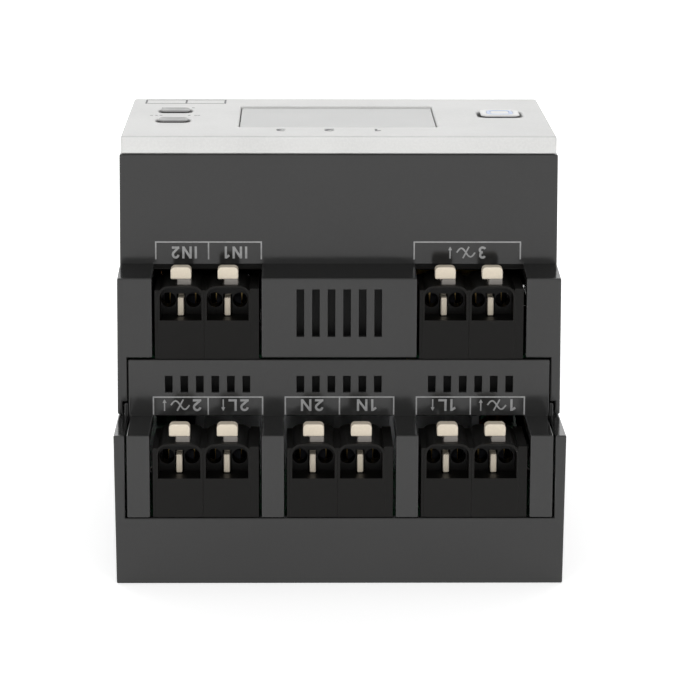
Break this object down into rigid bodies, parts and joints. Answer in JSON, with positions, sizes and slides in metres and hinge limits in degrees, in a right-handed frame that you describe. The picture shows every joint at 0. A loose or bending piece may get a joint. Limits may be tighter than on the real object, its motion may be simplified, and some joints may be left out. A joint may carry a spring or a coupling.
{
  "type": "din rail energy actuator module",
  "caption": "Rail-mounted smart energy module: stepped dark grey housing, spring terminals in two rows, white front cover with display window and keys.",
  "frame": {"origin": "middle of the footprint, on the plane of the back that lies against the rail and wall", "axes": "+Z out of the front cover, +Y along the device from the end with the two rows of terminals to the other end, +X across the width, to the right when the front cover faces up and that end faces the viewer"},
  "size_m": [0.072, 0.09, 0.0694],
  "materials": {
    "housing_grey": "moulded dark grey, fine satin",
    "cover_white": "moulded white, satin",
    "display_film": "pale film with a faint cell grid, gloss",
    "lcd_glass": "liquid crystal sandwich",
    "light_guide_white": "white diffusing plastic",
    "contact_rubber": "striped conductive rubber",
    "button_white": "white, satin",
    "light_ring": "translucent, frosted",
    "key_grey": "grey, satin",
    "switch_black": "moulded black",
    "switch_metal": "pressed sheet",
    "guard_black": "plain black sheet",
    "board_green": "solder mask",
    "connector_black": "moulded black",
    "screw_steel": "zinc plated",
    "terminal_black": "moulded black, gloss",
    "release_cream": "moulded cream, satin",
    "contact_brass": "tinned at the pin",
    "spring_steel": "spring steel",
    "heat_sink_aluminium": "extruded, plain",
    "transistor_black": "moulded black",
    "capacitor_sleeve": "shrunk sleeve",
    "choke_copper": "enamelled copper wire",
    "fuse_ceramic": "ceramic with pressed caps",
    "transformer_tape": "yellow tape on ferrite",
    "radio_can": "tinned screening can",
    "antenna_copper": "enamelled copper wire",
    "chip_black": "moulded black",
    "led_white": "clear lens",
    "latch_grey": "moulded dark grey"
  },
  "bodies": {
    "housing": {"base_housing": "housing_grey", "upper_housing": "housing_grey", "front_terminal_panel": "housing_grey", "rear_terminal_panel": "housing_grey", "front_cover": "cover_white", "display_window": "display_film", "lcd_panel": "lcd_glass", "backlight_guide": "light_guide_white", "lcd_contact_strip": "contact_rubber", "key_switches": "switch_metal", "touch_guards": "guard_black", "display_board": "board_green", "terminal_board": "board_green", "power_board": "board_green", "board_headers": "connector_black", "board_screws": "screw_steel", "terminal_block_upper_left": "terminal_black", "terminal_block_upper_right": "terminal_black", "terminal_block_lower_left": "terminal_black", "terminal_block_lower_middle": "terminal_black", "terminal_block_lower_right": "terminal_black", "terminal_block_rear_left": "terminal_black", "terminal_block_rear_right": "terminal_black", "contact_bars": "contact_brass", "clamp_springs": "spring_steel", "latch_spring": "spring_steel", "heat_sink": "heat_sink_aluminium", "power_transistors": "transistor_black", "storage_capacitors": "capacitor_sleeve", "chokes": "choke_copper", "fuses": "fuse_ceramic", "supply_transformer": "transformer_tape", "radio_module": "radio_can", "antenna_wire": "antenna_copper", "control_chips": "chip_black", "status_led": "led_white"},
    "release_button_upper_1": {"release_button_upper_1": "release_cream"},
    "release_button_upper_2": {"release_button_upper_2": "release_cream"},
    "release_button_upper_3": {"release_button_upper_3": "release_cream"},
    "release_button_upper_4": {"release_button_upper_4": "release_cream"},
    "release_button_lower_1": {"release_button_lower_1": "release_cream"},
    "release_button_lower_2": {"release_button_lower_2": "release_cream"},
    "release_button_lower_3": {"release_button_lower_3": "release_cream"},
    "release_button_lower_4": {"release_button_lower_4": "release_cream"},
    "release_button_lower_5": {"release_button_lower_5": "release_cream"},
    "release_button_lower_6": {"release_button_lower_6": "release_cream"},
    "release_button_rear_1": {"release_button_rear_1": "release_cream"},
    "release_button_rear_2": {"release_button_rear_2": "release_cream"},
    "release_button_rear_3": {"release_button_rear_3": "release_cream"},
    "release_button_rear_4": {"release_button_rear_4": "release_cream"},
    "system_button": {"system_button": "button_white", "status_light_ring": "light_ring", "system_switch_plunger": "switch_black"},
    "channel_key": {"channel_key": "key_grey", "channel_switch_plunger": "switch_black"},
    "select_key": {"select_key": "key_grey", "select_switch_plunger": "switch_black"},
    "rail_latch": {"rail_latch": "latch_grey"}
  },
  "joints": [
    {"name": "release_button_upper_1_press", "type": "slide", "parent": "housing", "child": "release_button_upper_1", "axis": [0, 0, -1], "range_m": [0, 0.0007], "stiffness_N_per_m": 1200, "springref_m": -0.0005},
    {"name": "release_button_upper_2_press", "type": "slide", "parent": "housing", "child": "release_button_upper_2", "axis": [0, 0, -1], "range_m": [0, 0.0007], "stiffness_N_per_m": 1200, "springref_m": -0.0005},
    {"name": "release_button_upper_3_press", "type": "slide", "parent": "housing", "child": "release_button_upper_3", "axis": [0, 0, -1], "range_m": [0, 0.0007], "stiffness_N_per_m": 1200, "springref_m": -0.0005},
    {"name": "release_button_upper_4_press", "type": "slide", "parent": "housing", "child": "release_button_upper_4", "axis": [0, 0, -1], "range_m": [0, 0.0007], "stiffness_N_per_m": 1200, "springref_m": -0.0005},
    {"name": "release_button_lower_1_press", "type": "slide", "parent": "housing", "child": "release_button_lower_1", "axis": [0, 0, -1], "range_m": [0, 0.0007], "stiffness_N_per_m": 1200, "springref_m": -0.0005},
    {"name": "release_button_lower_2_press", "type": "slide", "parent": "housing", "child": "release_button_lower_2", "axis": [0, 0, -1], "range_m": [0, 0.0007], "stiffness_N_per_m": 1200, "springref_m": -0.0005},
    {"name": "release_button_lower_3_press", "type": "slide", "parent": "housing", "child": "release_button_lower_3", "axis": [0, 0, -1], "range_m": [0, 0.0007], "stiffness_N_per_m": 1200, "springref_m": -0.0005},
    {"name": "release_button_lower_4_press", "type": "slide", "parent": "housing", "child": "release_button_lower_4", "axis": [0, 0, -1], "range_m": [0, 0.0007], "stiffness_N_per_m": 1200, "springref_m": -0.0005},
    {"name": "release_button_lower_5_press", "type": "slide", "parent": "housing", "child": "release_button_lower_5", "axis": [0, 0, -1], "range_m": [0, 0.0007], "stiffness_N_per_m": 1200, "springref_m": -0.0005},
    {"name": "release_button_lower_6_press", "type": "slide", "parent": "housing", "child": "release_button_lower_6", "axis": [0, 0, -1], "range_m": [0, 0.0007], "stiffness_N_per_m": 1200, "springref_m": -0.0005},
    {"name": "release_button_rear_1_press", "type": "slide", "parent": "housing", "child": "release_button_rear_1", "axis": [0, 0, -1], "range_m": [0, 0.0007], "stiffness_N_per_m": 1200, "springref_m": -0.0005},
    {"name": "release_button_rear_2_press", "type": "slide", "parent": "housing", "child": "release_button_rear_2", "axis": [0, 0, -1], "range_m": [0, 0.0007], "stiffness_N_per_m": 1200, "springref_m": -0.0005},
    {"name": "release_button_rear_3_press", "type": "slide", "parent": "housing", "child": "release_button_rear_3", "axis": [0, 0, -1], "range_m": [0, 0.0007], "stiffness_N_per_m": 1200, "springref_m": -0.0005},
    {"name": "release_button_rear_4_press", "type": "slide", "parent": "housing", "child": "release_button_rear_4", "axis": [0, 0, -1], "range_m": [0, 0.0007], "stiffness_N_per_m": 1200, "springref_m": -0.0005},
    {"name": "system_button_press", "type": "slide", "parent": "housing", "child": "system_button", "axis": [0, 0, -1], "range_m": [0, 0.0004], "stiffness_N_per_m": 3000, "springref_m": -0.0002},
    {"name": "channel_key_press", "type": "slide", "parent": "housing", "child": "channel_key", "axis": [0, 0, -1], "range_m": [0, 0.0004], "stiffness_N_per_m": 3000, "springref_m": -0.0002},
    {"name": "select_key_press", "type": "slide", "parent": "housing", "child": "select_key", "axis": [0, 0, -1], "range_m": [0, 0.0004], "stiffness_N_per_m": 3000, "springref_m": -0.0002},
    {"name": "rail_latch_pull", "type": "slide", "parent": "housing", "child": "rail_latch", "axis": [0, 1, 0], "range_m": [0, 0.0035], "stiffness_N_per_m": 1500, "springref_m": -0.002, "deforming": ["latch_spring"]}
  ]
}
